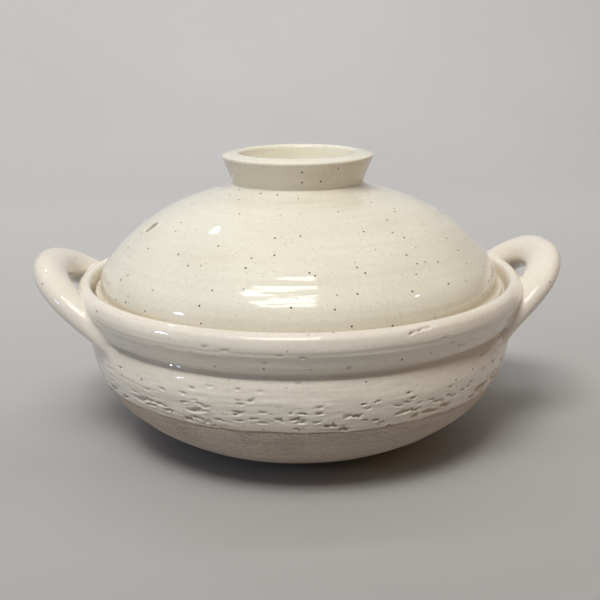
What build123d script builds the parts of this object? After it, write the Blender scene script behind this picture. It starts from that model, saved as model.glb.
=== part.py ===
from build123d import *

import os
from math import asin, cos, radians, sin, sqrt

# Lidded clay casserole: thrown bowl, two coil handles, domed lid and ring knob.
# Origin: centre of the foot ring on the surface it stands on. +Z up, handles along X.
# All sizes in millimetres. Profiles are drawn as (radius, height) in the XZ plane.

# Driving dimensions -------------------------------------------------------------
RIM_HEIGHT = 106.0  # foot to the crest of the bowl rim
RIM_RADIUS = 142.5  # outside of the rolled rim
MOUTH_RADIUS = 133.8  # inner edge of the rim crest
MOUTH_ROUNDING = 1.8
ROLL_RADIUS = 6.0  # rounding of the rim, crest to outside
BAND_DEPTH = 8.0  # the rim band is widest this far below the crest
BELLY_RADIUS = 135.0
BELLY_HEIGHT = 65.0  # height at which the belly is widest
WALL = 8.0

FOOT_RADIUS = 68.0
FOOT_WIDTH = 8.0
FOOT_RECESS = 5.0
FOOT_FLARE = 3.0  # the belly meets the foot this far out from and above its edge
FLOOR_THICKNESS = 8.0
FLOOR_RADIUS = 68.0  # flat part of the floor inside, which keeps the heel as thick as the wall

LEDGE_DEPTH = 9.5  # seat of the lid, below the rim crest
LEDGE_OUTER = 131.8
LEDGE_INNER = 121.5
LEDGE_THICKNESS = 4.0
LID_CLEARANCE = 0.3  # between the lid flange and its seat

FLANGE_RADIUS = 130.3
FLANGE_INNER = 122.5
FLANGE_THICKNESS = 3.6
LID_THICKNESS = 6.8
DOME_CENTRE = (31.3, 43.0)  # centre of the dome's round profile
DOME_ARC = 116.8  # and its radius
DOME_RADIUS = 127.0  # upright wall between flange and dome
DOME_WALL_TOP = 103.0
SHOULDER_RADIUS = 121.0  # the round profile starts here outside
UNDER_SHOULDER_RADIUS = 116.0  # and here inside
FLARE_RADIUS = 54.0  # from here inwards the dome rises more steeply to that ring
CROWN_RADIUS = 43.0  # outer edge of the flat ring on the crown, where the knob stands
CROWN_HEIGHT = 161.5
DISH_FLOOR_HEIGHT = 159.2  # top of the lid inside the knob

KNOB_RADIUS = 48.2
KNOB_NECK = 41.2
KNOB_NECK_HEIGHT = 2.8  # the ring narrows from its foot to this height, then flares
KNOB_BORE = 38.0  # radius of the dish at the top of the ring
KNOB_BORE_BASE = 33.5
KNOB_TOP = 182.5
KNOB_LIP = 4.5  # width of the lip from its crest to the outside
KNOB_LIP_DEPTH = 4.5  # and its depth on the inside

VENT_DIAMETER = 9.0
VENT_RADIUS = 95.0  # distance of the vent from the axis
VENT_AZIMUTH = 194.0  # degrees from +X: beside the left handle, towards the front

HANDLE_REACH = 160.0  # axis of the coil at the outer bend
HANDLE_HEIGHT = 112.5
HANDLE_ROOT_REACH = 105.0  # start of the coil, cut back to the outside of the bowl
COIL_DIAMETER = 20.0

os.makedirs("parts", exist_ok=True)


def finish(part, label):
    """Label a finished piece and write it."""
    part.label = label
    export_step(part, f"parts/{label}.step")


# Bowl ---------------------------------------------------------------------------
# The outside runs from the foot over the belly and the groove to the rolled rim.
BELLY = (BELLY_RADIUS, BELLY_HEIGHT)
BELLY_BELOW = (129.3, 45.5)
BELLY_LOW = (116.4, 28.4)
FOOT_EDGE = (FOOT_RADIUS + FOOT_FLARE, FOOT_FLARE)
SHOULDER = (134.1, 72.6)
GROOVE = (131.6, 79.5)
BAND_EDGE = (136.0, 82.2)
BAND_WIDEST = (RIM_RADIUS, RIM_HEIGHT - BAND_DEPTH)
CREST_OUTER = (RIM_RADIUS - ROLL_RADIUS, RIM_HEIGHT)

with BuildPart() as envelope:
    with BuildSketch(Plane.XZ):
        with BuildLine():
            belly = ThreePointArc(BELLY, BELLY_BELOW, BELLY_LOW)
            TangentArc(belly @ 1, FOOT_EDGE, tangent=belly % 1)
            Line(FOOT_EDGE, (FOOT_RADIUS, 0))
            Line((FOOT_RADIUS, 0), (0, 0))
            Line((0, 0), (0, RIM_HEIGHT))
            Line((0, RIM_HEIGHT), CREST_OUTER)
            roll = JernArc(CREST_OUTER, tangent=(1, 0), radius=ROLL_RADIUS, arc_size=-90)
            Line(roll @ 1, BAND_WIDEST)
            Line(BAND_WIDEST, BAND_EDGE)
            Line(BAND_EDGE, GROOVE)
            ThreePointArc(GROOVE, SHOULDER, BELLY)
        make_face()
    revolve(axis=Axis.Z)

FLOOR_HEIGHT = FOOT_RECESS + FLOOR_THICKNESS
LEDGE_HEIGHT = RIM_HEIGHT - LEDGE_DEPTH
INNER_BELLY = (BELLY_RADIUS - WALL, BELLY_HEIGHT)
INNER_BELOW = (121.6, 48.0)
INNER_LOW = (109.6, 33.0)
UNDER_LEDGE = (LEDGE_INNER, LEDGE_HEIGHT - LEDGE_THICKNESS)


def is_mouth_edge(edge):
    """The inner edge of the rim crest, told by its radius."""
    return abs(edge.radius - MOUTH_RADIUS) < 0.01


with BuildPart() as bowl:
    add(envelope.part)
    with BuildSketch(Plane.XZ):
        with BuildLine():
            inner = ThreePointArc(INNER_BELLY, INNER_BELOW, INNER_LOW)
            TangentArc(inner @ 1, (FLOOR_RADIUS, FLOOR_HEIGHT), tangent=inner % 1)
            Line((FLOOR_RADIUS, FLOOR_HEIGHT), (0, FLOOR_HEIGHT))
            Line((0, FLOOR_HEIGHT), (0, RIM_HEIGHT))
            Line((0, RIM_HEIGHT), (MOUTH_RADIUS, RIM_HEIGHT))
            Line((MOUTH_RADIUS, RIM_HEIGHT), (LEDGE_OUTER, LEDGE_HEIGHT))
            Line((LEDGE_OUTER, LEDGE_HEIGHT), (LEDGE_INNER, LEDGE_HEIGHT))
            Line((LEDGE_INNER, LEDGE_HEIGHT), UNDER_LEDGE)
            TangentArc(INNER_BELLY, UNDER_LEDGE, tangent=(0, 1))
        make_face()
    revolve(axis=Axis.Z, mode=Mode.SUBTRACT)
    # recess under the base, inside the foot ring
    with BuildSketch(Plane.XY):
        Circle(FOOT_RADIUS - FOOT_WIDTH)
    extrude(amount=FOOT_RECESS, mode=Mode.SUBTRACT)
    mouth_edge = bowl.edges().filter_by(GeomType.CIRCLE).filter_by(is_mouth_edge)
    fillet(mouth_edge, radius=MOUTH_ROUNDING)


# Handles ------------------------------------------------------------------------
def coil_handle(side, root_height, root_half_width, half_width, bend):
    """A clay coil bent by hand to a loop, rising outwards from under the rim band."""
    run = HANDLE_REACH - HANDLE_ROOT_REACH
    rise = HANDLE_HEIGHT - root_height
    reach = sqrt(run**2 + rise**2)
    loop_plane = Plane(
        origin=(side * HANDLE_ROOT_REACH, 0, root_height),
        x_dir=(side * run, 0, rise),
        z_dir=(-side * rise, 0, run),
    )
    with BuildPart() as handle:
        with BuildLine(loop_plane):
            path = FilletPolyline(
                (0, -root_half_width),
                (reach, -half_width),
                (reach, half_width),
                (0, root_half_width),
                radius=bend,
            )
        with BuildSketch(Plane(origin=path @ 0, z_dir=path % 0)):
            Circle(COIL_DIAMETER / 2)
        sweep()
        # the coil ends on the outside of the bowl, where it is luted on
        add(envelope.part, mode=Mode.SUBTRACT)
    return handle.part


# Lid ----------------------------------------------------------------------------
FLANGE_BASE = LEDGE_HEIGHT + LID_CLEARANCE
FLANGE_TOP = FLANGE_BASE + FLANGE_THICKNESS


def dome_point(radius, depth=0.0):
    """A point of the dome's round profile, at a depth below its surface."""
    across = radius - DOME_CENTRE[0]
    height = sqrt((DOME_ARC - depth) ** 2 - across**2)
    return (radius, DOME_CENTRE[1] + height)


def dome_arc(outermost, innermost, depth=0.0):
    """The stretch of that profile between two radii."""
    start = dome_point(outermost, depth)
    middle = dome_point((outermost + innermost) / 2, depth)
    end = dome_point(innermost, depth)
    return ThreePointArc(start, middle, end)


with BuildPart() as lid:
    with BuildSketch(Plane.XZ):
        with BuildLine():
            side = dome_arc(SHOULDER_RADIUS, FLARE_RADIUS)
            inner_side = dome_arc(UNDER_SHOULDER_RADIUS, CROWN_RADIUS, LID_THICKNESS)
            TangentArc(side @ 1, (CROWN_RADIUS, CROWN_HEIGHT), tangent=side % 1)
            Line((CROWN_RADIUS, CROWN_HEIGHT), (KNOB_BORE_BASE, CROWN_HEIGHT))
            Line((KNOB_BORE_BASE, CROWN_HEIGHT), (KNOB_BORE_BASE, DISH_FLOOR_HEIGHT))
            Line((KNOB_BORE_BASE, DISH_FLOOR_HEIGHT), (0, DISH_FLOOR_HEIGHT))
            Line((0, DISH_FLOOR_HEIGHT), (0, (inner_side @ 1).Y))
            Line((0, (inner_side @ 1).Y), inner_side @ 1)
            TangentArc(inner_side @ 0, (FLANGE_INNER, FLANGE_TOP), tangent=-(inner_side % 0))
            Line((FLANGE_INNER, FLANGE_TOP), (FLANGE_INNER, FLANGE_BASE))
            Line((FLANGE_INNER, FLANGE_BASE), (FLANGE_RADIUS, FLANGE_BASE))
            Line((FLANGE_RADIUS, FLANGE_BASE), (FLANGE_RADIUS, FLANGE_TOP))
            Line((FLANGE_RADIUS, FLANGE_TOP), (DOME_RADIUS, FLANGE_TOP))
            Line((DOME_RADIUS, FLANGE_TOP), (DOME_RADIUS, DOME_WALL_TOP))
            TangentArc(side @ 0, (DOME_RADIUS, DOME_WALL_TOP), tangent=-(side % 0))
        make_face()
    revolve(axis=Axis.Z)
    # steam vent, pierced square to the dome
    vent_lean = asin((VENT_RADIUS - DOME_CENTRE[0]) / DOME_ARC)
    azimuth = radians(VENT_AZIMUTH)
    outward = Vector(cos(azimuth), sin(azimuth), 0)
    vent_axis = outward * sin(vent_lean) + Vector(0, 0, cos(vent_lean))
    vent_centre = outward * VENT_RADIUS + Vector(0, 0, dome_point(VENT_RADIUS)[1])
    with BuildSketch(Plane(origin=vent_centre, z_dir=vent_axis)):
        Circle(VENT_DIAMETER / 2)
    extrude(amount=LID_THICKNESS * 2, both=True, mode=Mode.SUBTRACT)


# Knob: a flared ring like a foot, standing on the crown of the lid ----------------
KNOB_FOOT = (CROWN_RADIUS, CROWN_HEIGHT)
NECK_TOP = (KNOB_NECK, CROWN_HEIGHT + KNOB_NECK_HEIGHT)
LIP_OUTER = (KNOB_RADIUS, KNOB_TOP - 2.0)
LIP_SHOULDER = (KNOB_RADIUS - 1.4, KNOB_TOP - 0.5)
LIP_CREST = (KNOB_RADIUS - KNOB_LIP, KNOB_TOP)
LIP_FALL = (KNOB_BORE + 2.0, KNOB_TOP - 1.4)
LIP_INNER = (KNOB_BORE, KNOB_TOP - KNOB_LIP_DEPTH)

with BuildPart() as lid_knob:
    with BuildSketch(Plane.XZ):
        with BuildLine():
            Line((KNOB_BORE_BASE, CROWN_HEIGHT), KNOB_FOOT)
            Line(KNOB_FOOT, NECK_TOP)
            Line(NECK_TOP, LIP_OUTER)
            ThreePointArc(LIP_OUTER, LIP_SHOULDER, LIP_CREST)
            ThreePointArc(LIP_CREST, LIP_FALL, LIP_INNER)
            Line(LIP_INNER, (KNOB_BORE_BASE, CROWN_HEIGHT))
        make_face()
    revolve(axis=Axis.Z)


finish(bowl.part, "bowl")
finish(
    coil_handle(-1, root_height=69.0, root_half_width=62.0, half_width=38.0, bend=46.0),
    "left_handle",
)
finish(
    coil_handle(1, root_height=64.0, root_half_width=54.0, half_width=32.0, bend=38.0),
    "right_handle",
)
finish(lid.part, "lid")
finish(lid_knob.part, "lid_knob")
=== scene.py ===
from math import cos, pi, radians, sin

import bmesh
import bpy
import numpy as np
from mathutils import Matrix, Vector


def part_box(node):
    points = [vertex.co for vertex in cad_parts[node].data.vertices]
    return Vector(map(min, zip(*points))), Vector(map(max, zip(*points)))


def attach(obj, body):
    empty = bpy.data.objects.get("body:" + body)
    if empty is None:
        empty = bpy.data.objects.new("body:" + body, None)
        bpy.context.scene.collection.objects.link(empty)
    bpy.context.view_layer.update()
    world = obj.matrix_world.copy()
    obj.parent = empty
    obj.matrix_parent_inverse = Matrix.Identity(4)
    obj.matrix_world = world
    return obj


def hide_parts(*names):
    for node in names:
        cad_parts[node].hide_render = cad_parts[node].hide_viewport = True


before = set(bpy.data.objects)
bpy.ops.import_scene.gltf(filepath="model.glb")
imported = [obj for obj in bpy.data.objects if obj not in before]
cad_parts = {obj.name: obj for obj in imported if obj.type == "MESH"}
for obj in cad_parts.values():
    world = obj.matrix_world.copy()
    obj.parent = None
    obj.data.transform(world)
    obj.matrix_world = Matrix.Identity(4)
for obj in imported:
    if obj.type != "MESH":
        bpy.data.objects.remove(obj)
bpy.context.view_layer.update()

# Lidded clay casserole in cream glaze. Profiles are drawn in millimetres as (radius, height),
# in the frame of the CAD model: +Z up, handles along X, the viewer towards -Y.
MM = 0.001
TURN = 2 * pi
FRONT = -pi / 2  # the angle that faces the viewer

bowl_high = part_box("bowl")[1] / MM
lid_low, lid_high = (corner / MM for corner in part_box("lid"))
knob_low, knob_high = (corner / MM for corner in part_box("lid_knob"))

RIM_MARGIN = 0.15  # room for the relief between the smooth rim and the CAD model's box
KNOB_MARGIN = 0.1
SEAT_GAP = 0.3  # between the flange of the lid and the seat under it

RIM_HEIGHT = bowl_high.z
RIM_RADIUS = bowl_high.x - RIM_MARGIN
LID_RADIUS = lid_high.x
SEAT_HEIGHT = lid_low.z - SEAT_GAP
CROWN_HEIGHT = knob_low.z
KNOB_RADIUS = knob_high.x - KNOB_MARGIN
KNOB_TOP = knob_high.z - KNOB_MARGIN
LID_SHIFT = -0.8  # the lid lies this far towards -X in its seat, inside its play


# Shared tools ---------------------------------------------------------------------
def hashed(ix, iy, iz, seed):
    """A number from 0 to 1 for each lattice point, the same on every run."""
    n = (ix * 374761393 + iy * 668265263 + iz * 362437 + seed * 1442695) & 0xFFFFFFFF
    n = ((n ^ (n >> 13)) * 1274126177) & 0xFFFFFFFF
    return ((n ^ (n >> 16)) & 0xFFFF) / 65535.0


def noise(x, y, z, seed=0):
    """Smooth noise from -1 to 1, with about one lump per unit of length."""
    x, y, z = np.broadcast_arrays(*(np.asarray(v, float) for v in (x, y, z)))
    cells = [np.floor(v).astype(np.int64) for v in (x, y, z)]
    shares = [v - c for v, c in zip((x, y, z), cells)]
    shares = [f * f * (3 - 2 * f) for f in shares]
    total = 0.0
    for dx in (0, 1):
        for dy in (0, 1):
            for dz in (0, 1):
                weight = 1.0
                for step, share in zip((dx, dy, dz), shares):
                    weight = weight * (share if step else 1 - share)
                total = total + weight * hashed(cells[0] + dx, cells[1] + dy, cells[2] + dz, seed)
    return total * 2 - 1


def around(angles, radius, size, height, tall, seed, octaves=1):
    """Noise on a surface of revolution: lumps of size along the turn and tall across it."""
    x = np.cos(angles)[None, :] * radius / size
    y = np.sin(angles)[None, :] * radius / size
    z = height[:, None] / tall
    total = 0.0
    for octave in range(octaves):
        step = 2**octave
        total = total + noise(x * step, y * step, z * step, seed + octave) / step
    return total


def line(start, end, count):
    """Points of a straight stretch, without its end."""
    share = np.linspace(0, 1, count, endpoint=False)[:, None]
    return np.array(start) * (1 - share) + np.array(end) * share


def bend(start, corner, end, count):
    """Points of a rounded corner, without its end."""
    t = np.linspace(0, 1, count, endpoint=False)[:, None]
    start, corner, end = (np.array(p, float) for p in (start, corner, end))
    return start * (1 - t) ** 2 + corner * 2 * t * (1 - t) + end * t**2


def arc(start, middle, end, count):
    """Points of the round stretch through three points, without its end."""
    start, middle, end = (np.array(p, float) for p in (start, middle, end))
    rows = 2 * np.array([middle - start, end - start])
    centre = np.linalg.solve(rows, [middle @ middle - start @ start, end @ end - start @ start])
    radius = np.linalg.norm(start - centre)
    angles = np.unwrap([np.arctan2(*(p - centre)[::-1]) for p in (start, middle, end)])
    turn = np.linspace(angles[0], angles[2], count, endpoint=False)
    return centre + radius * np.column_stack([np.cos(turn), np.sin(turn)])


def leaving(start, tangent, end, count):
    """Points of the arc that leaves start along tangent and reaches end, without its end."""
    start, tangent, end = (np.array(p, float) for p in (start, tangent, end))
    across = np.array([-tangent[1], tangent[0]]) / np.linalg.norm(tangent)
    gap = end - start
    radius = (gap @ gap) / (2 * across @ gap)
    centre = start + across * radius
    halfway = (start + end) / 2 - centre
    middle = centre + halfway / np.linalg.norm(halfway) * abs(radius)
    return arc(start, middle, end, count)


def lengths(points):
    """Distance along a profile, in millimetres."""
    steps = np.linalg.norm(np.diff(points, axis=0), axis=1)
    return np.concatenate([[0], np.cumsum(steps)])


def column_angles(count, crowding):
    """Angles of the columns round the axis, closer together at the front."""
    turn = np.arange(count) * TURN / count
    return turn - crowding * np.sin(turn - FRONT)


def hump(value, centre, spread):
    """1 where value is at the centre, falling smoothly to 0 over the spread to either side."""
    return np.exp(-(((value - centre) / spread) ** 2))


def strips(index):
    """Four-sided faces between the rows of a grid of vertex numbers that closes on itself."""
    beside = np.roll(index, -1, axis=1)
    quads = np.stack([index[:-1], beside[:-1], beside[1:], index[1:]], axis=-1)
    return quads.reshape(-1, 4).tolist()


def fan(ring):
    """Each vertex number of a ring with the one beside it."""
    return [(int(a), int(b)) for a, b in zip(ring, np.roll(ring, -1))]


def make_object(name, vertices, faces, materials, face_materials=None):
    """A smooth-shaded mesh object, from vertices in millimetres."""
    mesh = bpy.data.meshes.new(name)
    mesh.from_pydata((np.asarray(vertices) * MM).tolist(), [], faces)
    for material in materials:
        mesh.materials.append(material)
    if face_materials is not None:
        mesh.polygons.foreach_set("material_index", face_materials)
    mesh.polygons.foreach_set("use_smooth", [True] * len(mesh.polygons))
    mesh.update()
    made = bpy.data.objects.new(name, mesh)
    bpy.context.scene.collection.objects.link(made)
    return made


def set_attribute(made, name, values):
    """One number per vertex, which the material reads."""
    attribute = made.data.attributes.new(name, "FLOAT", "POINT")
    attribute.data.foreach_set("value", np.asarray(values, np.float32).ravel())


def per_vertex(values, shape, last=0):
    """One number for each vertex of a turned solid, whose ends on the axis get 0 and last."""
    inner = np.broadcast_to(values, shape)[1:-1]
    return np.concatenate([[0], inner.ravel(), [last]])


def turned(name, profile, angles, relief, materials, wear_and_shade, slide=0.0, row_materials=None):
    """A closed solid of revolution from axis to axis, with relief along its normals.

    slide moves the surface's points along the profile. Both ends of the profile lie on the axis.
    """
    along = lengths(profile)
    place = along[:, None] + slide + np.zeros(relief.shape)
    radius = np.interp(place, along, profile[:, 0])
    height = np.interp(place, along, profile[:, 1])
    slope = np.gradient(profile, along, axis=0)
    slope /= np.linalg.norm(slope, axis=1)[:, None]
    radius = radius + slope[:, 1:2] * relief
    height = height - slope[:, 0:1] * relief
    rows, columns = radius.shape
    points = np.stack([radius * np.cos(angles), radius * np.sin(angles), height], axis=-1)
    first = [0.0, 0.0, height[0].mean()]
    last = [0.0, 0.0, height[-1].mean()]
    vertices = np.concatenate([[first], points[1:-1].reshape(-1, 3), [last]])
    end = len(vertices) - 1
    index = 1 + np.arange((rows - 2) * columns).reshape(rows - 2, columns)
    faces = [(0, b, a) for a, b in fan(index[0])]
    faces += strips(index)
    faces += [(a, b, end) for a, b in fan(index[-1])]
    if row_materials is None:
        row_materials = np.zeros(rows, int)
    chosen = np.repeat(row_materials[: rows - 1], columns).tolist()
    made = make_object(name, vertices, faces, materials, chosen)
    set_attribute(made, "wear_and_shade", per_vertex(wear_and_shade, radius.shape))
    set_attribute(made, "along", per_vertex(along[:, None] * MM, radius.shape, along[-1] * MM))
    return made


# Materials ------------------------------------------------------------------------
CREAM = (0.80, 0.75, 0.655, 1)
CREAM_SHADE = (0.77, 0.72, 0.63, 1)
# thinner glaze; also painted shade under the band and on the inner wall of the rim
CREAM_THIN_AND_SHADE = (0.58, 0.46, 0.32, 1)
LID_CREAM = (0.81, 0.785, 0.665, 1)
LID_SHADE = (0.775, 0.75, 0.63, 1)
# thinner glaze; also painted shade in the gap round the lid's flange and on the knob's outer wall
LID_THIN_AND_SHADE = (0.62, 0.50, 0.37, 1)
FINE_SPECK = (0.2, 0.15, 0.1, 1)
IRON_SPECK = (0.07, 0.05, 0.035, 1)
TEAR_BROWN = (0.3, 0.22, 0.15, 1)
CLAY = (0.71, 0.585, 0.475, 1)
CLAY_SHADE = (0.6, 0.485, 0.39, 1)
CLAY_SCORED = (0.86, 0.75, 0.63, 1)
CLAY_RUST = (0.42, 0.22, 0.11, 1)  # the burnt edge where the glaze ends
CLAY_GRIT = (0.68, 0.6, 0.5, 1)
CLAY_SPECK = (0.14, 0.09, 0.06, 1)
TORN_ZONE = (0.046, 0.062)  # heights in metres between which the belly's skin is torn


class Nodes:
    """Short ways to add nodes to one material."""

    def __init__(self, name):
        self.material = bpy.data.materials.new(name)
        self.material.use_nodes = True
        self.tree = self.material.node_tree
        self.shader = self.tree.nodes["Principled BSDF"]

    def add(self, kind, settings=(), **inputs):
        """A node, its settings and its inputs, named with _ for each space."""
        made = self.tree.nodes.new(kind)
        for key, value in dict(settings).items():
            setattr(made, key, value)
        for key, value in inputs.items():
            self.put(made.inputs[key.replace("_", " ")], value)
        return made

    def put(self, socket, value):
        """Link a socket to the node input, or set a constant on it."""
        if isinstance(value, bpy.types.NodeSocket):
            self.tree.links.new(value, socket)
        else:
            socket.default_value = value

    def maths(self, operation, first, second=0.0, clamp=False):
        made = self.tree.nodes.new("ShaderNodeMath")
        made.operation = operation
        made.use_clamp = clamp
        self.put(made.inputs[0], first)
        self.put(made.inputs[1], second)
        return made.outputs[0]

    def ramp(self, value, low, high, start=0.0, end=1.0):
        """value from low to high, spread smoothly from start to end."""
        made = self.add("ShaderNodeMapRange", {"interpolation_type": "SMOOTHSTEP"})
        for socket, number in zip(made.inputs, (value, low, high, start, end)):
            self.put(socket, number)
        return made.outputs[0]

    def mix(self, share, first, second):
        """A colour between two colours."""
        made = self.add("ShaderNodeMix", {"data_type": "RGBA"})
        self.put(made.inputs["Factor"], share)
        self.put(made.inputs[6], first)
        self.put(made.inputs[7], second)
        return made.outputs[2]

    def place(self):
        """Place in the object's own coordinates, in metres."""
        return self.add("ShaderNodeTexCoord").outputs["Object"]

    def noise(self, where, scale, detail=2.0, rough=0.5):
        made = self.add("ShaderNodeTexNoise", Scale=scale, Detail=detail, Roughness=rough)
        self.put(made.inputs["Vector"], where)
        return made.outputs["Fac"]

    def cells(self, where, scale):
        """Distance to the nearest random point, and that point's random number."""
        made = self.add("ShaderNodeTexVoronoi", Scale=scale)
        self.put(made.inputs["Vector"], where)
        split = self.add("ShaderNodeSeparateColor")
        self.put(split.inputs[0], made.outputs["Color"])
        return made.outputs["Distance"], split.outputs[0]

    def attribute(self, name):
        return self.add("ShaderNodeAttribute", {"attribute_name": name}).outputs["Fac"]

    def streaks(self, around_scale, across_scale):
        """Coordinates stretched along the turning, for marks left by the wheel."""
        split = self.add("ShaderNodeSeparateXYZ", Vector=self.place())
        joined = self.add(
            "ShaderNodeCombineXYZ",
            X=self.maths("MULTIPLY", split.outputs[0], around_scale),
            Y=self.maths("MULTIPLY", split.outputs[1], around_scale),
            Z=self.maths("MULTIPLY", self.attribute("along"), across_scale),
        )
        return joined.outputs[0]

    def bump(self, height, strength, distance, below=None):
        made = self.add("ShaderNodeBump", Strength=strength, Distance=distance, Height=height)
        if below is not None:
            self.put(made.inputs["Normal"], below)
        return made.outputs[0]


def specks(nodes, where, scale, size, share):
    """Round spots of iron: 1 on a spot, 0 elsewhere. share of the points have none."""
    distance, chance = nodes.cells(where, scale)
    spot = nodes.ramp(distance, size * 0.6, size, 1.0, 0.0)
    return nodes.maths("MULTIPLY", spot, nodes.ramp(chance, share, share + 0.25))


def small_tears(nodes, lowest, highest):
    """Short level tears in the skin, between two heights in metres: 1 in a tear, 0 elsewhere."""
    tears = nodes.noise(nodes.streaks(170.0, 640.0), 1.0, 3.0)
    height = nodes.add("ShaderNodeSeparateXYZ", Vector=nodes.place()).outputs[2]
    above = nodes.ramp(height, lowest - 0.004, lowest + 0.003)
    below = nodes.ramp(height, highest - 0.012, highest + 0.004, 1.0, 0.0)
    zone = nodes.maths("MULTIPLY", above, below)
    return nodes.maths("MULTIPLY", zone, nodes.ramp(tears, 0.645, 0.675))


def glaze_material(name, body, shade, browner, speck_share, ring_strength, torn=None):
    """Glossy cream glaze: soft mottling, iron specks, pinholes and traces of the turning."""
    nodes = Nodes(name)
    where = nodes.place()
    cloud = nodes.ramp(nodes.noise(where, 22.0, 3.0), 0.35, 0.68)
    colour = nodes.mix(cloud, body, shade)
    fine = nodes.ramp(nodes.noise(where, 420.0, 2.0), 0.3, 0.75)
    colour = nodes.mix(nodes.maths("MULTIPLY", fine, 0.16), colour, browner)
    bands = nodes.noise(nodes.streaks(14.0, 260.0), 1.0, 3.0)
    bands = nodes.ramp(bands, 0.42, 0.72)
    colour = nodes.mix(nodes.maths("MULTIPLY", bands, 0.12), colour, browner)
    # browner where the wear_and_shade attribute is high: thinner glaze, and painted shade where the
    # pieces put it
    wear_and_shade = nodes.attribute("wear_and_shade")
    colour = nodes.mix(nodes.maths("MULTIPLY", wear_and_shade, 0.6, clamp=True), colour, browner)
    large = specks(nodes, where, 165.0, 0.13, speck_share)
    small = specks(nodes, where, 390.0, 0.2, speck_share + 0.1)
    colour = nodes.mix(nodes.maths("MULTIPLY", small, 0.3), colour, FINE_SPECK)
    colour = nodes.mix(nodes.maths("MULTIPLY", large, 0.92), colour, IRON_SPECK)
    if torn:
        tears = small_tears(nodes, *torn)
        colour = nodes.mix(nodes.maths("MULTIPLY", tears, 0.1), colour, TEAR_BROWN)
    nodes.put(nodes.shader.inputs["Base Color"], colour)
    nodes.put(
        nodes.shader.inputs["Roughness"],
        nodes.ramp(nodes.noise(where, 60.0, 4.0), 0.3, 0.7, 0.46, 0.6),
    )
    nodes.shader.inputs["Coat Weight"].default_value = 1.0
    nodes.shader.inputs["Coat Roughness"].default_value = 0.045
    nodes.shader.inputs["Specular IOR Level"].default_value = 0.3
    nodes.shader.inputs["IOR"].default_value = 1.5
    rings = nodes.noise(nodes.streaks(9.0, 330.0), 1.0, 2.0)
    relief = nodes.bump(rings, ring_strength, 0.0006)
    relief = nodes.bump(nodes.noise(where, 260.0, 3.0), 0.1, 0.0005, relief)
    relief = nodes.bump(nodes.maths("SUBTRACT", 0.0, large), 0.5, 0.0004, relief)
    if torn:
        relief = nodes.bump(nodes.maths("SUBTRACT", 0.0, tears), 1.0, 0.0018, relief)
    nodes.put(nodes.shader.inputs["Normal"], relief)
    nodes.put(nodes.shader.inputs["Coat Normal"], relief)
    return nodes.material


def clay_material(name):
    """Bare fired clay: matt, buff, finely scored by the turning, with grit in it."""
    nodes = Nodes(name)
    where = nodes.place()
    score = nodes.noise(nodes.streaks(30.0, 1500.0), 1.0, 4.0, 0.65)
    cloud = nodes.ramp(nodes.noise(where, 35.0, 3.0), 0.35, 0.7)
    colour = nodes.mix(cloud, CLAY, CLAY_SHADE)
    colour = nodes.mix(nodes.ramp(score, 0.38, 0.62, 0.0, 0.8), colour, CLAY_SCORED)
    edge = nodes.attribute("wear_and_shade")
    colour = nodes.mix(nodes.maths("MULTIPLY", edge, 0.8, clamp=True), colour, CLAY_RUST)
    grit, chance = nodes.cells(where, 520.0)
    dots = nodes.ramp(grit, 0.12, 0.24, 1.0, 0.0)
    dots = nodes.maths("MULTIPLY", dots, nodes.ramp(chance, 0.5, 0.8))
    colour = nodes.mix(nodes.maths("MULTIPLY", dots, 0.5), colour, CLAY_GRIT)
    dark = specks(nodes, where, 300.0, 0.13, 0.4)
    colour = nodes.mix(nodes.maths("MULTIPLY", dark, 0.6), colour, CLAY_SPECK)
    nodes.put(nodes.shader.inputs["Base Color"], colour)
    nodes.put(nodes.shader.inputs["Roughness"], nodes.ramp(score, 0.3, 0.7, 0.62, 0.86))
    grain = nodes.noise(nodes.streaks(190.0, 520.0), 1.0, 4.0, 0.65)
    relief = nodes.bump(score, 1.0, 0.0012)
    relief = nodes.bump(dots, 0.7, 0.0007, relief)
    relief = nodes.bump(grain, 1.0, 0.003, relief)
    nodes.put(nodes.shader.inputs["Normal"], relief)
    return nodes.material


# Bowl -----------------------------------------------------------------------------
GLAZE_LINE = 47.0  # height of the edge of the glaze on the belly
GLAZE_THICKNESS = 0.35
BELLY = (134.8, 65.0)
BELLY_LOW = (116.4, 28.4)
BELLY_ROWS = 108  # as close as the marks need
COARSE_ROWS = 60  # of these rows, which are below the marks, every fourth is enough
FOOT_RADIUS = 70  # the first point of the outside beyond this is past the foot ring
FOOT_EDGE = (71.0, 3.0)
UNDERSIDE = 5  # height of the recess inside the foot ring
BAND_BOTTOM = (132.6, 81.9)  # lower corner of the band under the rim, over the groove
RIM_SIDE = (RIM_RADIUS, RIM_HEIGHT - 7.5)
CREST = (RIM_RADIUS - 5.8, RIM_HEIGHT - 0.1)
MOUTH_RADIUS = 121.5
SEAT_RADIUS = 132.0
WALL_TOP = (127, 65)
WALL_MIDDLE = (121.6, 48)
WALL_FOOT = (109.6, 33)
FLOOR_EDGE = (68, 13)
MARKED_RADIUS = 133.0  # mean radius of the marked part of the belly
BODY_RADIUS = 135  # round which the noise of the bowl is wrapped


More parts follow.
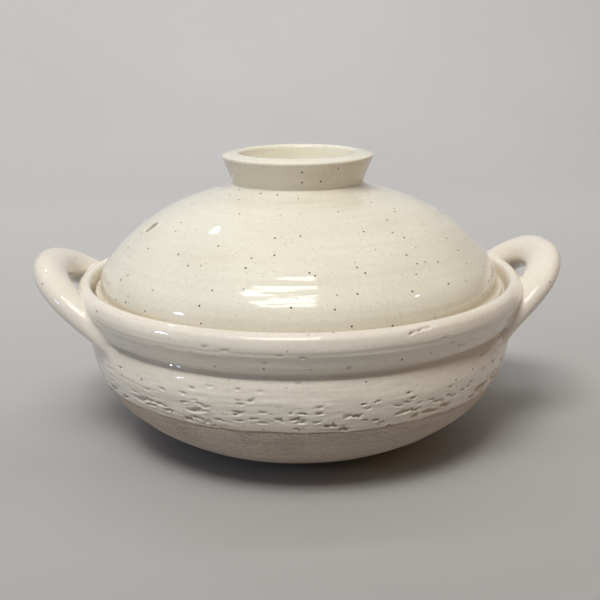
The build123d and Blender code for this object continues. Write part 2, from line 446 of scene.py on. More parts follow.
def bowl_outside():
    """From the axis under the foot, round the belly, the groove and the band, to the crest."""
    belly = arc(BELLY_LOW, (129.1, 45.5), BELLY, BELLY_ROWS)
    under = leaving(BELLY_LOW, belly[0] - belly[1], FOOT_EDGE, 15)
    return [
        line((0, UNDERSIDE), (57.5, UNDERSIDE), 7),
        bend((57.5, UNDERSIDE), (60, UNDERSIDE), (60.6, 2.8), 3),
        bend((60.6, 2.8), (61.0, 0), (63.2, 0), 3),
        line((63.2, 0), (66.3, 0), 2),
        bend((66.3, 0), (68.6, 0), FOOT_EDGE, 4),
        np.concatenate([[FOOT_EDGE], under[:0:-1]]),
        belly[:COARSE_ROWS:4],
        belly[COARSE_ROWS:],
        arc(BELLY, (134.0, 72.6), (132.0, 78.2), 22),
        bend((132.0, 78.2), (130.2, 81.6), BAND_BOTTOM, 4),
        bend(BAND_BOTTOM, (135.9, 81.9), (136.4, 83.8), 4),
        bend((136.4, 83.8), (137.9, 86.6), (138.6, 88.4), 6),
        bend((138.6, 88.4), (139.0, 90.0), (140.3, 92.0), 6),
        bend((140.3, 92.0), (141.2, 93.2), (141.6, 95.4), 6),
        bend((141.6, 95.4), (RIM_RADIUS, 96.6), RIM_SIDE, 4),
        bend(RIM_SIDE, (RIM_RADIUS, RIM_HEIGHT - 0.3), CREST, 13),
    ]


def bowl_inside():
    """From the crest over the mouth and the lid's seat, down to the axis on the floor."""
    seat = SEAT_HEIGHT
    throat = (MOUTH_RADIUS, seat - 3)
    wall = leaving(WALL_TOP, (0, 1), throat, 9)
    just_above_foot = arc(WALL_TOP, WALL_MIDDLE, WALL_FOOT, 400)[-1]
    floor_centre = (0, FLOOR_EDGE[1])
    return [
        bend(CREST, (134.4, RIM_HEIGHT), (133.4, RIM_HEIGHT - 2.6), 5),
        line((133.4, RIM_HEIGHT - 2.6), (SEAT_RADIUS, seat + 1.2), 3),
        bend((SEAT_RADIUS, seat + 1.2), (131.6, seat), (130.2, seat), 2),
        line((130.2, seat), (122.8, seat), 4),
        bend((122.8, seat), (MOUTH_RADIUS, seat), (MOUTH_RADIUS, seat - 1.5), 3),
        np.concatenate([[(MOUTH_RADIUS, seat - 1.5), throat], wall[:0:-1]]),
        arc(WALL_TOP, WALL_MIDDLE, WALL_FOOT, 10),
        leaving(WALL_FOOT, WALL_FOOT - just_above_foot, FLOOR_EDGE, 12),
        line(FLOOR_EDGE, floor_centre, 8),
        [floor_centre],
    ]


def gouge(relief, along, angles, radius, centre, angle, half, depth, lean, seed):
    """Press one ragged mark, with a raised lower lip, into the relief.

    It lies at the distance centre along the profile. half is (half its length, half its height).
    """
    rows = np.flatnonzero(np.abs(along - centre) < half[1] * 3 + half[0] * abs(lean))
    offset = (angles - angle + pi) % TURN - pi
    columns = np.flatnonzero(np.abs(offset) * radius < half[0] * 1.7)
    if not len(rows) or not len(columns):
        return
    u = offset[columns][None, :] * radius
    v = along[rows][:, None] - centre - lean * u
    v = v + half[1] * 0.7 * noise(u / 1.6, 0.0, 0.0, seed)
    shape = np.exp(-np.abs(u / half[0]) ** 6 - np.abs(v / half[1]) ** 6)
    lip = np.exp(-((u / half[0]) ** 4) - ((v + half[1] * 1.5) / 0.6) ** 2)
    relief[np.ix_(rows, columns)] += 0.2 * depth * lip - depth * shape


def torn_marks(relief, along, angles, height_to_along):
    """Marks that grit left as the wheel dragged it through the soft clay."""
    rng = np.random.default_rng(seed=7)
    # count, lowest, highest, half length, half height, depth, most marks in one place
    kinds = [
        (52, 50.0, 58.0, (1.8, 4.0), (0.8, 1.2), (1.4, 2.1), 3),
        (130, 49.0, 66.0, (1.0, 2.6), (0.6, 0.95), (0.9, 1.7), 2),
        (60, 62.0, 75.0, (0.9, 1.8), (0.6, 0.85), (0.7, 1.4), 1),
        (44, 84.0, 97.0, (0.9, 2.0), (0.5, 0.8), (0.6, 1.1), 1),
        (60, 20.0, 46.0, (1.5, 3.6), (0.5, 0.9), (0.3, 0.8), 2),
    ]
    for count, lowest, highest, length, height, depth, most in kinds:
        for _ in range(count):
            angle = rng.uniform(0, TURN)
            level = rng.uniform(lowest, highest)
            for _ in range(rng.integers(1, most + 1)):
                centre = height_to_along(level + rng.normal(0, 1.4))
                half = (rng.uniform(*length), rng.uniform(*height))
                deep = rng.uniform(*depth)
                lean = rng.normal(0, 0.07)
                seed = int(rng.integers(1000))
                gouge(relief, along, angles, MARKED_RADIUS, centre, angle, half, deep, lean, seed)
                angle = angle + rng.uniform(3.0, 9.0) / MARKED_RADIUS


def rim_crack(relief, along, angles, height_to_along):
    """A crack along the crest of the rim, at the front right."""
    radius, deep, lean, seed = 141.0, 2.2, 0.08, 5
    for degrees, level, half in ((-67.5, 104.0, (4.4, 0.55)), (-70.4, 102.9, (1.7, 0.7))):
        centre = height_to_along(level)
        gouge(relief, along, angles, radius, centre, radians(degrees), half, deep, lean, seed)


def bowl_relief(profile, angles, outer, first_glazed, height_to_along):
    """Unevenness of the thrown wall, torn marks and the thickness of the glaze."""
    along = lengths(profile)
    height = profile[:, 1]
    relief = 0.14 * around(angles, BODY_RADIUS, 60, along, 5.0, 1, 2)
    relief += 0.07 * around(angles, BODY_RADIUS, 30, along, 1.6, 2)
    belly = outer * np.interp(height, [20, 40, 76, 80], [0.3, 1, 1, 0])
    relief += belly[:, None] * 0.16 * around(angles, BODY_RADIUS, 9, along, 2.4, 3, 2)
    torn_marks(relief, along, angles, height_to_along)
    rim_crack(relief, along, angles, height_to_along)
    glazed = (np.arange(len(profile)) > first_glazed) * outer
    relief += GLAZE_THICKNESS * (belly * glazed)[:, None]
    fade = np.interp(profile[:, 0], [10, 40], [0, 1]) * np.interp(height, [0, 6], [0, 1])
    room = (0.15 + 0.45 * outer) * np.interp(height, [80, 84], [1.0, 0.2])
    return np.minimum(relief * fade[:, None], room[:, None])


def bowl_wear_and_shade(relief, along, height, outer, line_at):
    """How the glaze is browner: thinner in the marks and at its lower edge, with painted shade
    under the lower edge of the band and on the inner wall of the rim.
    """
    hollow = np.clip(-relief / 1.1, 0, 1)
    edge = hump(along, line_at, 0.7) * outer
    thinning = hump(along, line_at, 5.0) * outer * (along > line_at + 0.8)
    # painted shade under the lower edge of the band, where it overhangs the groove
    undercut_shade = hump(height, 83.2, 1.2) * outer * 0.5
    # painted shade on the inner wall of the rim, between the crest and the lid's seat
    mouth = (1 - outer) * np.interp(height, [95, 97, 101, 104.5], [0, 0.9, 0.7, 0])
    rows = edge * 0.7 + thinning * 0.75 + undercut_shade + mouth
    return np.clip(hollow * 0.15 + rows[:, None], 0, 1)


def make_bowl():
    """The bowl with its foot ring; the handles are fitted to its outside, which is returned."""
    outside = np.concatenate(bowl_outside())
    profile = np.concatenate([outside, np.concatenate(bowl_inside())])
    along = lengths(profile)
    height = profile[:, 1]
    angles = column_angles(448, crowding=0.56)
    outer = (np.arange(len(profile)) < len(outside)) * 1.0
    above_foot = slice(np.argmax(outside[:, 0] > FOOT_RADIUS), len(outside))

    def height_to_along(level):
        return np.interp(level, height[above_foot], along[above_foot])

    line_at = height_to_along(GLAZE_LINE)
    first_glazed = int(np.argmax(along > line_at))
    relief = bowl_relief(profile, angles, outer, first_glazed, height_to_along)
    drift = around(angles, BODY_RADIUS, 45, np.zeros(1), 1.0, 9, 3)
    piece = turned(
        "bowl_body",
        profile,
        angles,
        relief,
        [bowl_glaze, bare_clay],
        bowl_wear_and_shade(relief, along, height, outer, line_at),
        slide=(hump(along, line_at, 5.0) * outer)[:, None] * drift * 1.1,
        row_materials=(np.arange(len(profile)) < first_glazed) * 1,
    )
    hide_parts("bowl")
    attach(piece, "pot")
    return outside


# Handles --------------------------------------------------------------------------
LOOP_REACH = 158.4  # radius of the far end of the loop's centre line
LOOP_TOP = 111.9
ROOT_RADIUS = 105.0  # where the centre line starts, deep in the wall
ROOT_DEPTH = 13.0  # the coil is cut off this deep under the bowl's skin
BURIED = 4.0  # and what is left of it inside the wall is drawn up to this depth
ALONG_COIL = [0, 0.13, 0.33, 0.5, 0.67, 1]  # shares of the way from the near root to the far one
HALF_WIDE = [9.4, 9.6, 11.2, 11.4, 12.2, 12.6]
HALF_THICK = [8.4, 8.2, 8.7, 8.9, 9.8, 10.6]
USUAL_THICK = 8.9
COIL_COLUMNS = 88


class Envelope:
    """Signed distance from the outside of the bowl, positive outside it."""

    step = 0.5

    def __init__(self, outside):
        self.radii = np.arange(80, 190, self.step)
        self.heights = np.arange(20, 140, self.step)
        r, z = np.meshgrid(self.radii, self.heights, indexing="ij")
        closed = np.concatenate([outside, [CREST, (0, RIM_HEIGHT)]])
        nearest = np.full(r.shape, np.inf)
        for start, end in zip(closed[:-1], closed[1:]):
            edge = end - start
            if not edge.any():
                continue
            share = ((r - start[0]) * edge[0] + (z - start[1]) * edge[1]) / (edge @ edge)
            share = np.clip(share, 0, 1)
            gap = np.hypot(r - start[0] - share * edge[0], z - start[1] - share * edge[1])
            nearest = np.minimum(nearest, gap)
        self.climbing = outside[np.argmax(outside[:, 0] > FOOT_RADIUS) :]
        width = np.interp(z, self.climbing[:, 1], self.climbing[:, 0], right=0)
        self.field = np.where(r < width, -nearest, nearest)

    def bury(self, points, depth):
        """Keep what lies inside the wall just under its skin, and off the crest of the rim."""
        r = np.hypot(points[..., 0], points[..., 1])
        roll = self.climbing[self.climbing[:, 1] > RIM_SIDE[1] - 0.1]
        roll = roll[np.argsort(roll[:, 0])]
        ceiling = np.interp(r, roll[:, 0], roll[:, 1]) - 1.2
        ceiling = ceiling + np.interp(r, [139.5, 143.0, 150.0], [0, 12, 80])
        z = np.minimum(points[..., 2], ceiling)
        width = np.interp(z, self.climbing[:, 1], self.climbing[:, 0])
        pushed = np.maximum(r, width - depth) / r
        return np.stack([points[..., 0] * pushed, points[..., 1] * pushed, z], axis=-1)

    def distance(self, points):
        """The stored distances, read off between the points of their grid."""
        r = np.hypot(points[..., 0], points[..., 1])
        i = np.clip((r - self.radii[0]) / self.step, 0, len(self.radii) - 1.001)
        j = np.clip((points[..., 2] - self.heights[0]) / self.step, 0, len(self.heights) - 1.001)
        a, b = i.astype(int), j.astype(int)
        u, v = i - a, j - b
        low = self.field[a, b] * (1 - u) + self.field[a + 1, b] * u
        high = self.field[a, b + 1] * (1 - u) + self.field[a + 1, b + 1] * u
        return low * (1 - v) + high * v


def rounded_path(corners, radius, step):
    """Points along straight runs with rounded corners."""
    points = []
    last = np.array(corners[0], float)
    for corner, after in zip(corners[1:-1], corners[2:]):
        corner, after = np.array(corner, float), np.array(after, float)
        towards = (corner - last) / np.linalg.norm(corner - last)
        away = (after - corner) / np.linalg.norm(after - corner)
        turn = np.arccos(np.clip(towards @ away, -1, 1))
        cut = radius * np.tan(turn / 2)
        start, end = corner - towards * cut, corner + away * cut
        points.append(line(last, start, max(2, int(np.linalg.norm(start - last) / step))))
        points.append(leaving(start, towards, end, max(2, int(radius * turn / step))))
        last = end
    final = np.array(corners[-1], float)
    points.append(line(last, final, max(2, int(np.linalg.norm(final - last) / step))))
    points.append([final])
    return np.concatenate(points)


def eased(points, steps):
    """A path with its curvature evened out, its ends kept."""
    for _ in range(steps):
        points[1:-1] = (points[:-2] + 2 * points[1:-1] + points[2:]) / 4
    return points


def loop_path(side, root_height, root_half, loop_half, bend_radius):
    """Centre line of the coil from root to root, and the direction square to the loop's plane."""
    run = LOOP_REACH - ROOT_RADIUS
    rise = LOOP_TOP - root_height
    reach = np.hypot(run, rise)
    corners = [(0, -root_half), (reach, -loop_half), (reach, loop_half), (0, root_half)]
    flat = eased(rounded_path(corners, bend_radius, 1.0), 120)
    outward = np.array([side * run, 0, rise]) / reach
    sideways = np.array([0.0, 1.0, 0.0])
    upright = np.cross(outward, sideways) * side
    upright = upright if upright[2] > 0 else -upright
    root = np.array([side * ROOT_RADIUS, 0, root_height])
    return root + flat[:, :1] * outward + flat[:, 1:] * sideways, upright


def coil_section(share, along, turns, seed):
    """Radius of the coil at each place along it, in each direction round it."""
    wide = np.interp(share, ALONG_COIL, HALF_WIDE) + 0.25 * noise(along / 30, 0, 0, seed)
    thick = np.interp(share, ALONG_COIL, HALF_THICK) + 0.25 * noise(along / 26, 5, 0, seed)
    # more clay on the side of the opening, most of it at the roots
    extra = np.interp(share, [0, 0.16, 0.27, 0.38, 0.5, 0.7, 1], [3.0, 4.5, 4.5, 2.0, 0, 1.5, 3.0])
    level = wide[:, None] + extra[:, None] * (np.cos(turns) > 0)
    return 1 / np.hypot(np.cos(turns)[None, :] / level, np.sin(turns)[None, :] / thick[:, None])


def joined_radius(path, spread, own, envelope):
    """How far the surface of coil and bowl, smeared together, is from the coil's centre line."""
    cap = own + 6.0

    def outside_by(distance):
        """The joined surface lies where this passes zero."""
        points = path[:, None, :] + spread * distance[..., None]
        coil = distance - own
        bowl = envelope.distance(points) + 0.2
        blend = np.interp(points[..., 2], [90, 101], [5.0, 0.8])
        overlap = np.clip(blend - np.abs(coil - bowl), 0, None) / blend
        return np.minimum(coil, bowl) - overlap**2 * blend / 4

    found = own.copy()
    going = np.ones(own.shape, bool)
    for share in np.linspace(0, 1, 46)[1:]:
        trial = own + (cap - own) * share
        inside = outside_by(trial) < 0
        going &= inside | (outside_by(found) < 0)
        found = np.where(going & inside, trial, found)
    low, high = found, np.minimum(found + 0.3, cap)
    for _ in range(8):
        guess = (low + high) / 2
        inside = outside_by(guess) < 0
        low = np.where(inside, guess, low)
        high = np.where(inside, high, guess)
    return low


def make_handle(name, node, envelope, side, root_height, root_half, loop_half, bend_radius, seed):
    """A coil bent to a loop, its ends smeared smoothly onto the bowl."""
    path, upright = loop_path(side, root_height, root_half, loop_half, bend_radius)
    tangent = np.gradient(path, axis=0)
    tangent /= np.linalg.norm(tangent, axis=1)[:, None]
    inward = np.cross(tangent, upright)
    kept = np.flatnonzero(envelope.distance(path) > -ROOT_DEPTH)
    path, inward = path[kept[0] : kept[-1] + 1], inward[kept[0] : kept[-1] + 1]
    along = lengths(path)
    share = along / along[-1]
    sag = np.clip(np.interp(share, ALONG_COIL, HALF_THICK) - USUAL_THICK, 0, None)
    path = path - upright * sag[:, None]
    turns = np.arange(COIL_COLUMNS) * TURN / COIL_COLUMNS
    spread = np.cos(turns)[None, :, None] * inward[:, None, :]
    spread = spread + np.sin(turns)[None, :, None] * upright
    own = coil_section(share, along, turns, seed)
    radius = joined_radius(path, spread, own, envelope)
    points = envelope.bury(path[:, None, :] + spread * radius[..., None], BURIED)
    lumps = noise(points[..., 0] / 22, points[..., 1] / 22, points[..., 2] / 22, seed)
    points = points + spread * (0.22 * lumps * (envelope.distance(points) > 4))[..., None]
    index = np.arange(radius.size).reshape(radius.shape)
    faces = strips(index) + [index[0, ::-1].tolist(), index[-1].tolist()]
    piece = make_object(name, points.reshape(-1, 3), faces, [handle_glaze])
    mesh = bmesh.new()
    mesh.from_mesh(piece.data)
    bmesh.ops.recalc_face_normals(mesh, faces=mesh.faces)
    mesh.to_mesh(piece.data)
    mesh.free()
    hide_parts(node)
    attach(piece, "pot")


# Lid ------------------------------------------------------------------------------
DOME_CENTRE = np.array((31.3, 43.0))  # of the arc that the dome is turned from
DOME_ARC = 116.6
LID_THICKNESS = 6.8
SHOULDER_RADIUS = 121.0
FLANGE_TOP = (127.0, 103.0)  # where the shoulder comes down onto the wall of the flange
FLARE = 55.0  # from here inwards the dome rises to the foot of the knob
CROWN_RADIUS = 42.6
CROWN_SKIN = CROWN_HEIGHT - 0.1
DISH_FLOOR = 159.2
DISH_EDGE = (33.4, DISH_FLOOR)
VENT_RADIUS = 95.0  # distance of the steam vent from the axis
VENT_AZIMUTH = radians(194.0)
VENT_HALF = 4.4
VENT_ROUNDING = 1.0
THROWN_RADIUS = 120  # round which the noise of the lid is wrapped


def dome_point(radius, depth=0.0):
    """A point on the dome, or as far as depth under it."""
    across = radius - DOME_CENTRE[0]
    return (radius, DOME_CENTRE[1] + np.sqrt((DOME_ARC - depth) ** 2 - across**2))


def flare_curve():
    """From the dome up to the flat ring that the knob stands on."""
    start = np.array(dome_point(FLARE))
    return leaving(start, start - dome_point(FLARE + 0.5), (CROWN_RADIUS, CROWN_SKIN), 16)


def lid_profile():
    """From the axis under the crown, round the flange, over the dome, to the axis on top."""
    base = lid_low.z
    edge = base + 3.6
    wall = FLANGE_TOP[0]
    under = dome_point(116.0, LID_THICKNESS)
    under_crown = dome_point(44.0, LID_THICKNESS)
    ceiling = under_crown[1] + 0.2
    shoulder = np.array(dome_point(SHOULDER_RADIUS))
    fall = dome_point(SHOULDER_RADIUS + 0.5) - shoulder
    return np.concatenate([
        line((0, ceiling), (36, ceiling), 5),
        bend((36, ceiling), (41, ceiling), under_crown, 3),
        arc(under_crown, dome_point(84.0, LID_THICKNESS), under, 34),
        bend(under, (121.5, 103), (122.3, base + 1.2), 5),
        bend((122.3, base + 1.2), (122.5, base), (124.0, base), 3),
        line((124.0, base), (129.0, base), 3),
        bend((129.0, base), (LID_RADIUS, base), (LID_RADIUS, base + 1.5), 3),
        bend((LID_RADIUS, base + 1.5), (LID_RADIUS, edge), (129.2, edge - 0.1), 4),
        bend((129.2, edge - 0.1), (127.4, edge - 1.1), (wall, edge + 0.9), 5),
        line((wall, edge + 0.9), FLANGE_TOP, 3),
        [FLANGE_TOP],
        leaving(shoulder, fall, FLANGE_TOP, 14)[:0:-1],
        arc(shoulder, dome_point(86.0), dome_point(FLARE), 86),
        flare_curve(),
        line((CROWN_RADIUS, CROWN_SKIN), (33.5, CROWN_SKIN), 3),
        line((33.5, CROWN_SKIN), DISH_EDGE, 2),
        line(DISH_EDGE, (0, DISH_FLOOR), 8),
        [(0, DISH_FLOOR)],
    ])


def vent_axis():
    """Mouth of the vent on the dome, in millimetres, and the direction square to the dome there."""
    outward = np.array((cos(VENT_AZIMUTH), sin(VENT_AZIMUTH)))
    spot = dome_point(VENT_RADIUS)
    lean = np.arcsin((VENT_RADIUS - DOME_CENTRE[0]) / DOME_ARC)
    axis = Vector((*(outward * np.sin(lean)), np.cos(lean)))
    return Vector((*(outward * spot[0]), spot[1])), axis


def open_wall(mesh, centre, off_axis, reach):
    """Cut the skin away round the vent, above and below. The cut edges are left open."""
    near = [f for f in mesh.faces if (f.calc_center_median() - centre).length < 14 * MM]
    edges = list(dict.fromkeys(e for f in near for e in f.edges))
    bmesh.ops.subdivide_edges(mesh, edges=edges, cuts=2, use_grid_fill=True)
    gone = []
    for face in mesh.faces:
        middle = face.calc_center_median()
        if (middle - centre).length < 16 * MM and off_axis(middle).length < reach * 0.96:
            gone.append(face)
    bmesh.ops.delete(mesh, geom=gone, context="FACES")


def set_width(vertices, off_axis, width):
    """Move vertices to the same distance from the axis of the vent."""
    for vertex in vertices:
        flat = off_axis(vertex.co)
        vertex.co += flat.normalized() * width - flat


def round_mouth(mesh, loop, off_axis, reach, step):
    """Carry an open edge over a quarter round into the bore; step leads into the wall."""
    for turn in range(1, 5):
        made = bmesh.ops.extrude_edge_only(mesh, edges=loop)["geom"]
        loop = [g for g in made if isinstance(g, bmesh.types.BMEdge)]
        ring = [g for g in made if isinstance(g, bmesh.types.BMVert)]
        after = turn * pi / 8
        drop = cos(after - pi / 8) - cos(after)
        set_width(ring, off_axis, reach - sin(after) * VENT_ROUNDING * MM)
        for vertex in ring:
            vertex.co += step * drop
    return loop


def sort_by_place(items, place):
    """Put vertices or faces in the order of their places, so that each run stores them alike."""
    ranks = {item: rank for rank, item in enumerate(sorted(items, key=place))}
    items.sort(key=ranks.get)


def pierce(piece, centre, axis, depth):
    """Open the steam vent: rounded mouths and a straight bore through the wall."""
    mesh = bmesh.new()
    mesh.from_mesh(piece.data)
    reach = (VENT_HALF + VENT_ROUNDING) * MM

    def off_axis(point):
        gap = point - centre
        return gap - axis * gap.dot(axis)

    open_wall(mesh, centre, off_axis, reach)
    outer, inner = [], []
    for edge in [e for e in mesh.edges if e.is_boundary]:
        middle = (edge.verts[0].co + edge.verts[1].co) / 2
        (outer if (middle - centre).dot(axis) > -depth / 2 else inner).append(edge)
    for loop in (outer, inner):
        set_width({v for e in loop for v in e.verts}, off_axis, reach)
    step = axis * VENT_ROUNDING * MM
    outer = round_mouth(mesh, outer, off_axis, reach, -step)
    inner = round_mouth(mesh, inner, off_axis, reach, step)
    bmesh.ops.bridge_loops(mesh, edges=outer + inner)
    bmesh.ops.recalc_face_normals(mesh, faces=mesh.faces)
    sort_by_place(mesh.verts, lambda vertex: tuple(vertex.co))
    sort_by_place(mesh.faces, lambda face: tuple(face.calc_center_median()))
    for face in mesh.faces:
        face.smooth = True
    mesh.to_mesh(piece.data)
    mesh.free()


def lid_relief(profile, angles, vent):
    """Throwing rings, strongest at the front right, and the raised rim of the vent."""
    along = lengths(profile)
    top = np.arange(len(profile)) > np.argmax(profile[:, 0])
    outer_radius = np.where(top, profile[:, 0], 0)
    rings = np.interp(outer_radius, [44, 60, 100, 122], [0.3, 0.7, 0.8, 1.0]) * top
    sway = 0.45 + 0.55 * (0.5 + 0.5 * np.cos(angles - radians(-25)))
    relief = 0.1 * around(angles, THROWN_RADIUS, 90, along, 9.0, 21, 2)
    relief += 0.1 * rings[:, None] * sway * around(angles, THROWN_RADIUS, 160, along, 3.4, 22)
    relief += 0.025 * around(angles, THROWN_RADIUS, 40, along, 1.7, 23)
    relief *= np.interp(profile[:, 0], [38, 46], [0.0, 1.0])[:, None]
    x = profile[:, :1] * np.cos(angles)
    y = profile[:, :1] * np.sin(angles)
    gap = np.sqrt((x - vent.x) ** 2 + (y - vent.y) ** 2 + (profile[:, 1:] - vent.z) ** 2)
    relief += top[:, None] * 0.45 * hump(gap, 6.3, 1.6)
    return np.minimum(relief, 0.5)


def lid_wear_and_shade(profile, relief):
    """Thinner glaze in the hollows of the top, and painted shade in the groove over the flange and
    on its ledge, down in the gap inside the rim.
    """
    along = lengths(profile)
    top = np.arange(len(profile)) > np.argmax(profile[:, 0])
    from_groove = np.hypot(profile[:, 0] - 127.3, profile[:, 1] - 100.2)
    # painted shade in the groove over the flange
    groove = hump(along, along[np.argmin(from_groove)], 1.6)
    # painted shade on the ledge and outer wall of the flange, in the gap inside the rim
    ledge_shade = np.interp(profile[:, 0], [126.5, 128.5], [0.0, 0.75])
    ledge_shade = ledge_shade * (profile[:, 1] > lid_low.z + 1.0)
    hollow = np.clip(-relief * 1.2, 0, 1) * top[:, None]
    return np.clip(hollow + (groove * 0.7 + ledge_shade)[:, None], 0, 1)


def make_lid():
    """The domed lid with its flange and the steam vent."""
    profile = lid_profile()
    angles = column_angles(476, crowding=0.25)
    vent, axis = vent_axis()
    relief = lid_relief(profile, angles, vent)
    wear_and_shade = lid_wear_and_shade(profile, relief)
    piece = turned("lid_shell", profile, angles, relief, [lid_glaze], wear_and_shade)
    pierce(piece, vent * MM, axis, LID_THICKNESS * MM)
    piece.location.x = LID_SHIFT * MM
    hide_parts("lid")
    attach(piece, "cover")


# Knob -----------------------------------------------------------------------------
WALL_ROWS = 24
RING_RADIUS = 45  # round which the noise of the knob is wrapped


def knob_profile(neck):
    """From the axis in the lid's crown, round the wall and the lip, to the axis in the dish."""
    base = CROWN_HEIGHT
    top = KNOB_TOP
    wide = KNOB_RADIUS
    hidden = DISH_FLOOR - 0.4
    floor = DISH_FLOOR + 0.4
    foot = flare_curve()[9]  # the luted joint is smoothed down onto the dome as far as this
    tip = foot + (1.6, -1.3)  # sunk into the dome, so that the joint shows no edge
    return np.concatenate([
        line((0, hidden), (31.0, hidden), 6),
        line((31.0, hidden), (32.5, base - 0.6), 2),
        line((32.5, base - 0.6), (41.0, base - 0.6), 4),
        line((41.0, base - 0.6), tip, 4),
        line(tip, foot, 3),
        bend(foot, (43.9, base - 0.3), neck, 10),
        line(neck, (wide - 0.5, top - 3.4), WALL_ROWS),
        bend((wide - 0.5, top - 3.4), (wide + 0.2, top - 1.7), (wide - 1.4, top - 1.4), 7),
        bend((wide - 1.4, top - 1.4), (wide - 5.0, top - 0.3), (wide - 9.0, top), 8),
        bend((wide - 9.0, top), (wide - 11.2, top + 0.1), (wide - 11.9, top - 1.8), 7),
        line((wide - 11.9, top - 1.8), (34.0, floor + 5.0), 14),
        bend((34.0, floor + 5.0), (33.4, floor), (27.0, floor), 7),
        line((27.0, floor), (0, floor), 7),
        [(0, floor)],
    ])


def make_knob():
    """A flared ring, its mouth a broad lip round a shallow dish."""
    neck = (41.3, CROWN_HEIGHT + 2.2)
    profile = knob_profile(neck)
    along = lengths(profile)
    angles = column_angles(360, crowding=0.1)
    relief = 0.10 * around(angles, RING_RADIUS, 50, along, 5.0, 31, 2)
    relief += 0.05 * around(angles, RING_RADIUS, 18, along, 1.8, 32)
    relief *= np.interp(profile[:, 0], [6, 24], [0, 1])[:, None]
    relief = np.minimum(relief, KNOB_MARGIN)
    widest = int(np.argmax(profile[:, 0] * (profile[:, 1] > neck[1])))
    # painted shade: the outer wall, shaded from the light above and warmed by bounced light, is
    # painted browner; the lip's edge gets thinner glaze
    wall = along[[widest - WALL_ROWS - 4, widest - WALL_ROWS + 4, widest - 3, widest]]
    browner = np.interp(along, wall, [0, 1, 1, 0]) * 0.6
    wear_and_shade = (hump(along, along[widest], 1.3) * 0.3 + browner)[:, None]
    piece = turned("knob_ring", profile, angles, relief, [lid_glaze], wear_and_shade)
    piece.location.x = LID_SHIFT * MM
    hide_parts("lid_knob")
    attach(piece, "cover")


bowl_glaze = glaze_material("bowl_glaze", CREAM, CREAM_SHADE, CREAM_THIN_AND_SHADE, 0.55, 0.45, TORN_ZONE)
handle_glaze = glaze_material("handle_glaze", CREAM, CREAM_SHADE, CREAM_THIN_AND_SHADE, 0.72, 0.0)
lid_glaze = glaze_material("lid_glaze", LID_CREAM, LID_SHADE, LID_THIN_AND_SHADE, 0.2, 0.14)
bare_clay = clay_material("bare_clay")

envelope = Envelope(make_bowl())
make_handle(
    "handle_left",
    "left_handle",
    envelope,
    side=-1,
    root_height=69.0,
    root_half=62.0,
    loop_half=38.0,
    bend_radius=46.0,
    seed=41,
)
make_handle(
    "handle_right",
    "right_handle",
    envelope,
    side=1,
    root_height=64.0,
    root_half=54.0,
    loop_half=32.0,
    bend_radius=38.0,
    seed=43,
)
make_lid()
make_knob()


# Stage, camera and light, in metres ---------------------------------------------------
PAPER = (0.38, 0.375, 0.37, 1)
PAPER_LIGHT = (0.41, 0.405, 0.4, 1)
FLOOR_FRONT = -3.0
FLOOR_BACK = 2.2
FLOOR_HALF_WIDTH = 4.0
SWEEP = 1.2  # radius of the bend from the floor up to the backdrop
BACKDROP_TOP = 3.2

CAMERA_PLACE = (-0.0525, -0.5998, 0.2555)
CAMERA_TURN = radians(5.0)
CAMERA_PITCH = radians(15.83)
CAMERA_ROLL = -0.0089
LENS = 57.0
SENSOR = 36.0

SKY = (0.86, 0.87, 0.9, 1)
SKY_STRENGTH = 0.04
WHITE = (1, 1, 1)
WARM = (1.0, 0.98, 0.945)
COOL = (0.8, 0.86, 1.0)
BLUE = (0.55, 0.68, 1.0)
AMBER = (1.0, 0.6, 0.28)
AIM = (0, 0, 0.1)  # the middle of the pot
CEILING = (-0.24, 1.36)  # X and height of the bars that are mirrored in the lid
BAR_LENGTH = 0.72
BARS = ((-0.47, 0.12), (-0.74, 0.22), (-1.0, 0.15))  # Y and width of each
BAR_POWER = 20  # watts for each metre of width


def make_stage():
    """A pale floor that sweeps up behind the pot."""
    nodes = Nodes("stage_paper")
    tint = nodes.mix(nodes.noise(nodes.place(), 3.0, 2.0), PAPER, PAPER_LIGHT)
    nodes.put(nodes.shader.inputs["Base Color"], tint)
    nodes.shader.inputs["Roughness"].default_value = 0.75
    edge = [(FLOOR_FRONT, 0.0)]
    for step in range(25):
        turn = step / 24 * pi / 2
        edge.append((FLOOR_BACK - SWEEP + sin(turn) * SWEEP, SWEEP - cos(turn) * SWEEP))
    edge.append((FLOOR_BACK, BACKDROP_TOP))
    vertices = [(x, y, z) for y, z in edge for x in (-FLOOR_HALF_WIDTH, FLOOR_HALF_WIDTH)]
    faces = [(2 * i, 2 * i + 1, 2 * i + 3, 2 * i + 2) for i in range(len(edge) - 1)]
    floor = make_object("floor", np.array(vertices) / MM, faces, [nodes.material])


def make_light(name, place, target, size, power, colour=WHITE, glossy=True):
    """A rectangular light. One that isn't glossy is not mirrored in the glaze."""
    data = bpy.data.lights.new(name, "AREA")
    data.shape = "RECTANGLE"
    data.size, data.size_y = size
    data.energy = power
    data.color = colour
    made = bpy.data.objects.new(name, data)
    bpy.context.scene.collection.objects.link(made)
    made.location = place
    made.rotation_euler = (Vector(target) - Vector(place)).to_track_quat("-Z", "Y").to_euler()
    made.visible_glossy = glossy


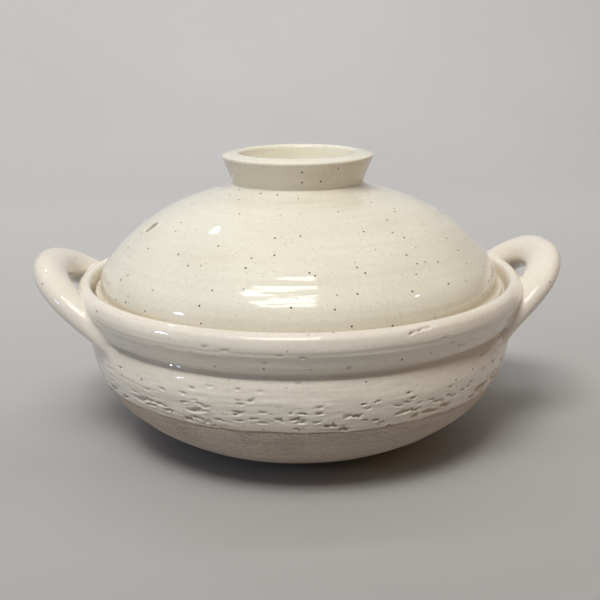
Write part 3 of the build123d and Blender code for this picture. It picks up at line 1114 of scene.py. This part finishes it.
def make_camera():
    """A camera that looks along +Y, turned a little towards +X, down and over to one side."""
    ahead = Vector((sin(CAMERA_TURN), cos(CAMERA_TURN), 0))
    side = Vector((cos(CAMERA_TURN), -sin(CAMERA_TURN), 0))
    forward = ahead * cos(CAMERA_PITCH) - Vector((0, 0, sin(CAMERA_PITCH)))
    above = ahead * sin(CAMERA_PITCH) + Vector((0, 0, cos(CAMERA_PITCH)))
    right = side * cos(CAMERA_ROLL) + above * sin(CAMERA_ROLL)
    up = above * cos(CAMERA_ROLL) - side * sin(CAMERA_ROLL)
    data = bpy.data.cameras.new("camera")
    data.lens = LENS
    data.sensor_width = SENSOR
    made = bpy.data.objects.new("camera", data)
    bpy.context.scene.collection.objects.link(made)
    axes = Matrix((right, up, -forward)).transposed().to_4x4()
    made.matrix_world = Matrix.Translation(CAMERA_PLACE) @ axes
    bpy.context.scene.camera = made


def make_world():
    """A faint even light from all round."""
    world = bpy.data.worlds.new("studio")
    world.use_nodes = True
    world.node_tree.nodes["Background"].inputs[0].default_value = SKY
    world.node_tree.nodes["Background"].inputs[1].default_value = SKY_STRENGTH
    bpy.context.scene.world = world


def make_lights():
    """Bars and small windows that the glaze mirrors, and soft lights that it doesn't."""
    x, height = CEILING
    for number, (y, width) in enumerate(BARS):
        place, below = (x, y, height), (x, y, 0)
        power = width * BAR_POWER
        make_light(f"ceiling_{number}", place, below, (BAR_LENGTH, width), power, WARM)
    make_light("key", (-0.85, -1.85, 3.2), AIM, (1.2, 0.9), 64.0, WARM, glossy=False)
    make_light("left_fill", (-1.7, -0.9, 0.8), AIM, (0.9, 0.9), 2.8, COOL, glossy=False)
    make_light("right_fill", (1.6, -0.5, 0.7), AIM, (0.8, 0.8), 2.9, AMBER, glossy=False)
    make_light("backdrop", (0, 0.3, 1.7), (0, 2.2, 1.0), (3.0, 0.9), 62.0, glossy=False)
    make_light("back_window", (-0.46, 0.72, 1.12), AIM, (0.07, 0.03), 0.35)
    groove = (-0.079, -0.106, 0.078)
    make_light("left_window", (-0.8, -0.31, 0.24), groove, (0.1, 0.03), 0.4, BLUE)
    make_light("right_spots", (0.79, -0.28, 0.69), AIM, (0.06, 0.02), 0.2)


bpy.context.scene.view_settings.view_transform = "Standard"
make_stage()
make_camera()
make_world()
make_lights()
